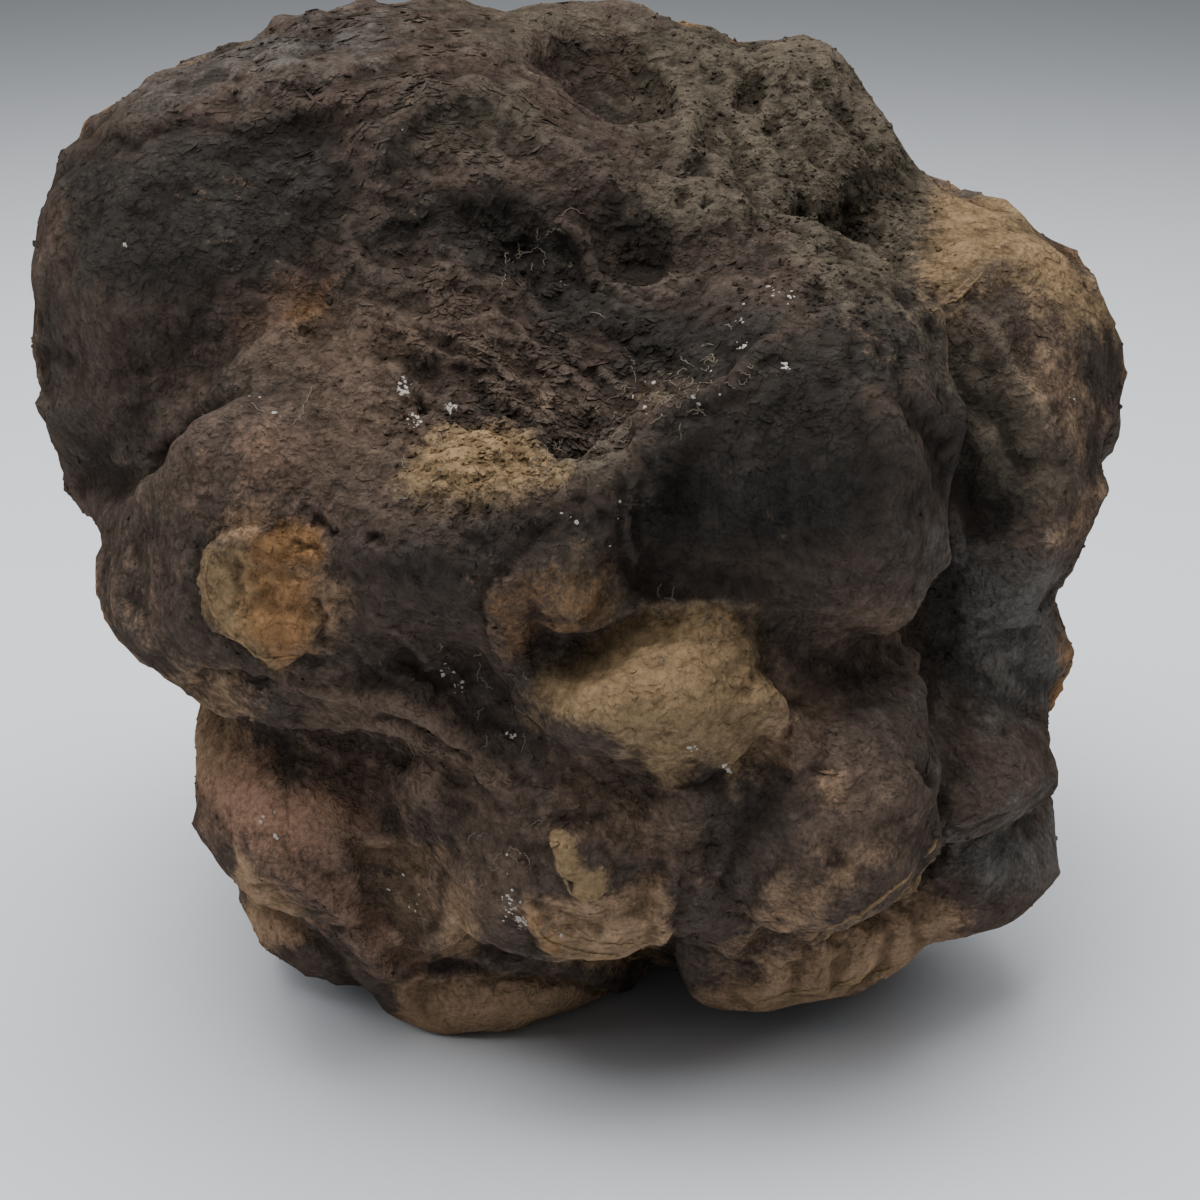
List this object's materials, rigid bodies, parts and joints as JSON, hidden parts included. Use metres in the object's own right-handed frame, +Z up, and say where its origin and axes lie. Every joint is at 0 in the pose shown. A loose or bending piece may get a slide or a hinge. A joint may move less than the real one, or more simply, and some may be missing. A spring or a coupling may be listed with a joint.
{
  "type": "geode",
  "caption": "Whole uncut geode: a rounded, lumpy nodule of rough brown stone with folds, hollows and ochre patches, resting on a small flat spot.",
  "frame": {"origin": "middle of the bounding box, on the plane of the flat spot it rests on", "axes": "+Z up from the ground; -Y towards the side seen in the picture, with the tan bulge; +X to that side's right, along the widest extent"},
  "size_m": [0.2064, 0.177, 0.1912],
  "materials": {
    "crust": "rough, dusty and matt"
  },
  "bodies": {
    "root": {"geode": "crust"}
  },
  "joints": []
}
